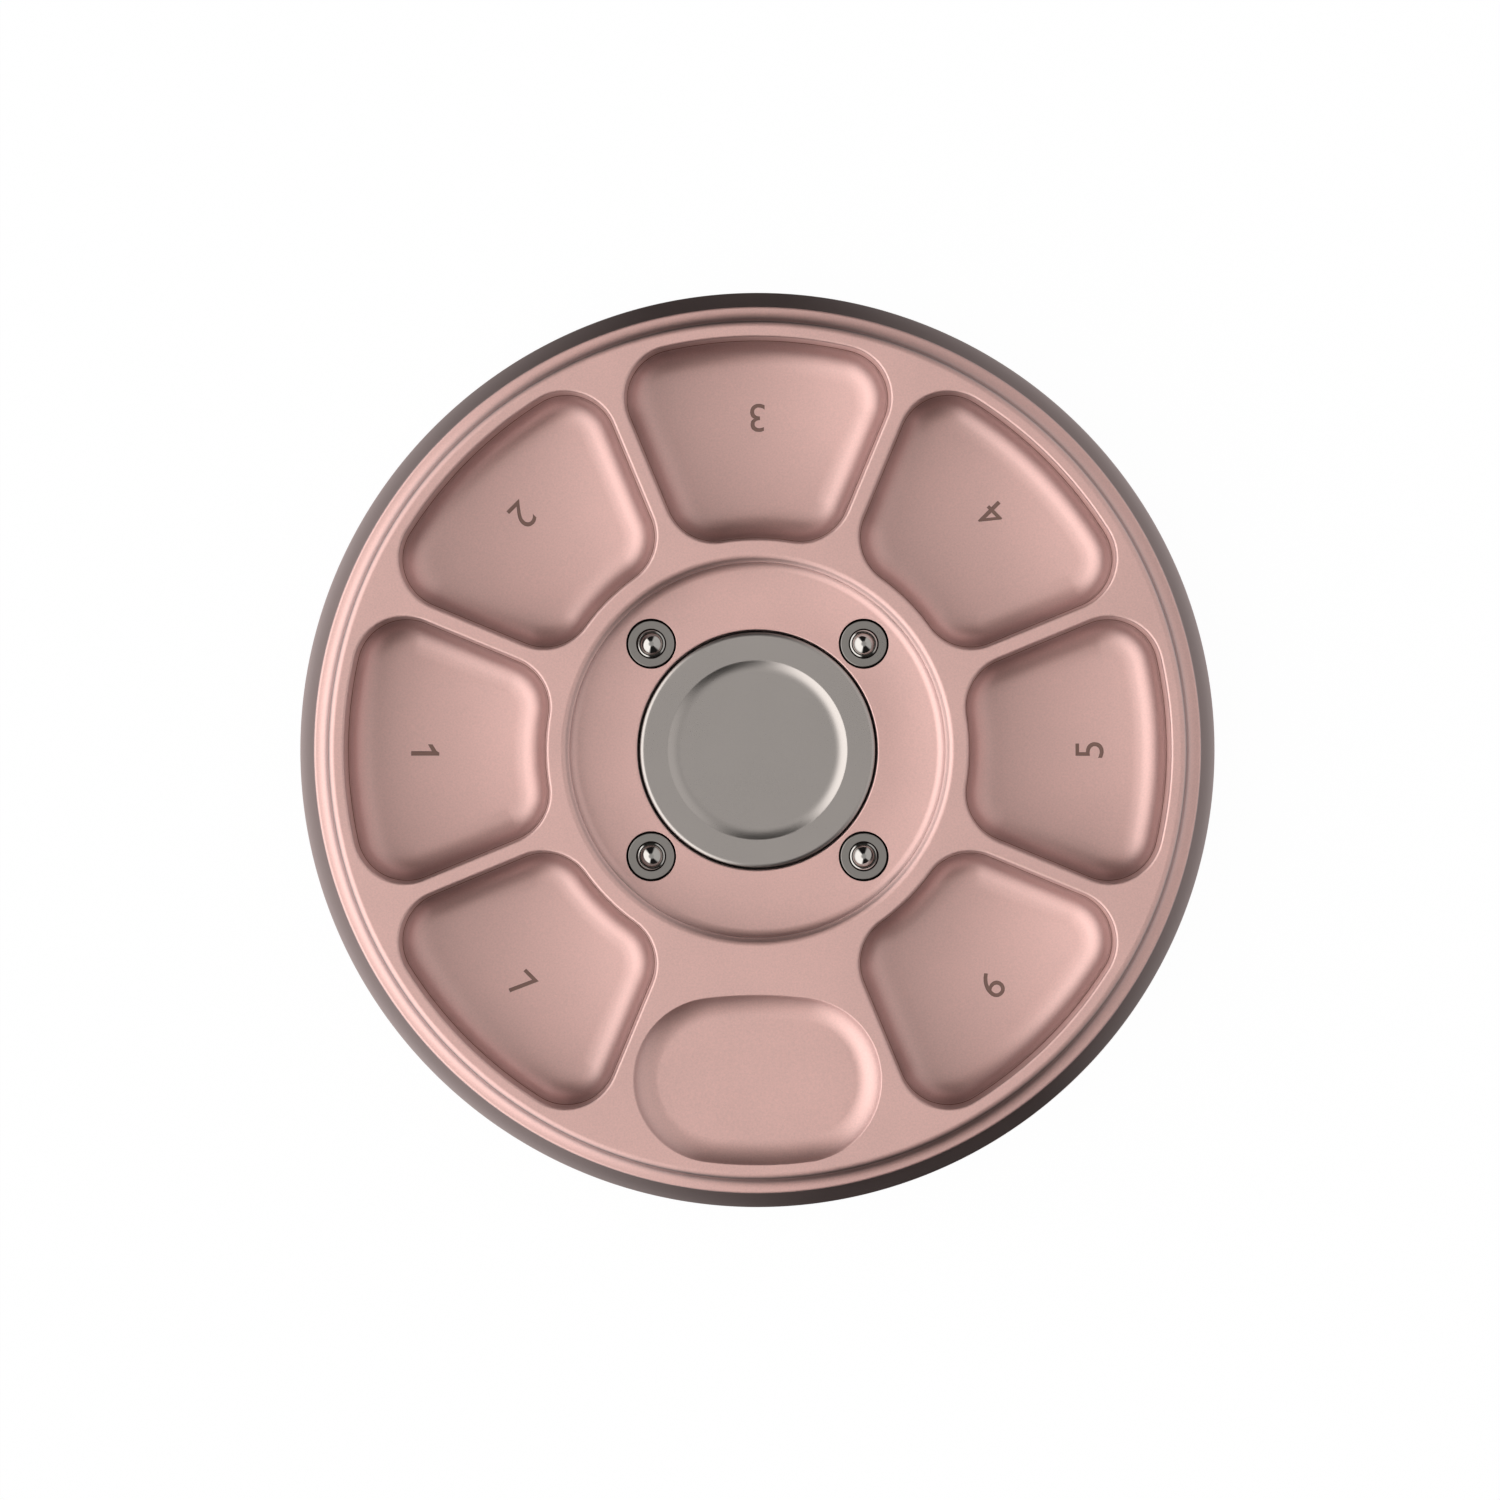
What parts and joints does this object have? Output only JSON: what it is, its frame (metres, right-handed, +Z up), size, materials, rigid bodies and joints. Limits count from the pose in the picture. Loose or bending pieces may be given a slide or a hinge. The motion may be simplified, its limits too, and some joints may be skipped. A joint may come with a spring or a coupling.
{
  "type": "pill case",
  "caption": "Round turned-metal pill tray: compartments in a ring, a thumb recess, a sunken hub with a dished disc and sprung ball detents, on a rubber foot ring.",
  "frame": {"origin": "centre of the foot ring's lower face, on the tray's own axis", "axes": "+Z up along the tray's axis; the thumb recess lies at -Y"},
  "size_m": [0.1108, 0.1108, 0.0125],
  "materials": {
    "rose_anodised": "bead-blasted and anodised, satin",
    "satin_steel": "satin",
    "polished_steel": "polished",
    "spring_steel": "drawn wire",
    "nickel_plate": "plated",
    "black_steel": "black oxide",
    "grey_rubber": "matt"
  },
  "bodies": {
    "case": {"tray_body": "rose_anodised", "centre_cap": "satin_steel", "ring_magnet": "nickel_plate", "cap_screw": "black_steel", "foot_ring": "grey_rubber", "plunger_sleeve_1": "satin_steel", "plunger_sleeve_2": "satin_steel", "plunger_sleeve_3": "satin_steel", "plunger_sleeve_4": "satin_steel", "plunger_spring_1": "spring_steel", "plunger_spring_2": "spring_steel", "plunger_spring_3": "spring_steel", "plunger_spring_4": "spring_steel"},
    "ball_1": {"plunger_ball_1": "polished_steel"},
    "ball_2": {"plunger_ball_2": "polished_steel"},
    "ball_3": {"plunger_ball_3": "polished_steel"},
    "ball_4": {"plunger_ball_4": "polished_steel"}
  },
  "joints": [
    {"name": "ball_1_press", "type": "slide", "parent": "case", "child": "ball_1", "axis": [0, 0, 1], "range_m": [-0.0008, 0], "stiffness_N_per_m": 1200, "deforming": ["plunger_spring_1"]},
    {"name": "ball_2_press", "type": "slide", "parent": "case", "child": "ball_2", "axis": [0, 0, 1], "range_m": [-0.0008, 0], "stiffness_N_per_m": 1200, "deforming": ["plunger_spring_2"]},
    {"name": "ball_3_press", "type": "slide", "parent": "case", "child": "ball_3", "axis": [0, 0, 1], "range_m": [-0.0008, 0], "stiffness_N_per_m": 1200, "deforming": ["plunger_spring_3"]},
    {"name": "ball_4_press", "type": "slide", "parent": "case", "child": "ball_4", "axis": [0, 0, 1], "range_m": [-0.0008, 0], "stiffness_N_per_m": 1200, "deforming": ["plunger_spring_4"]}
  ]
}
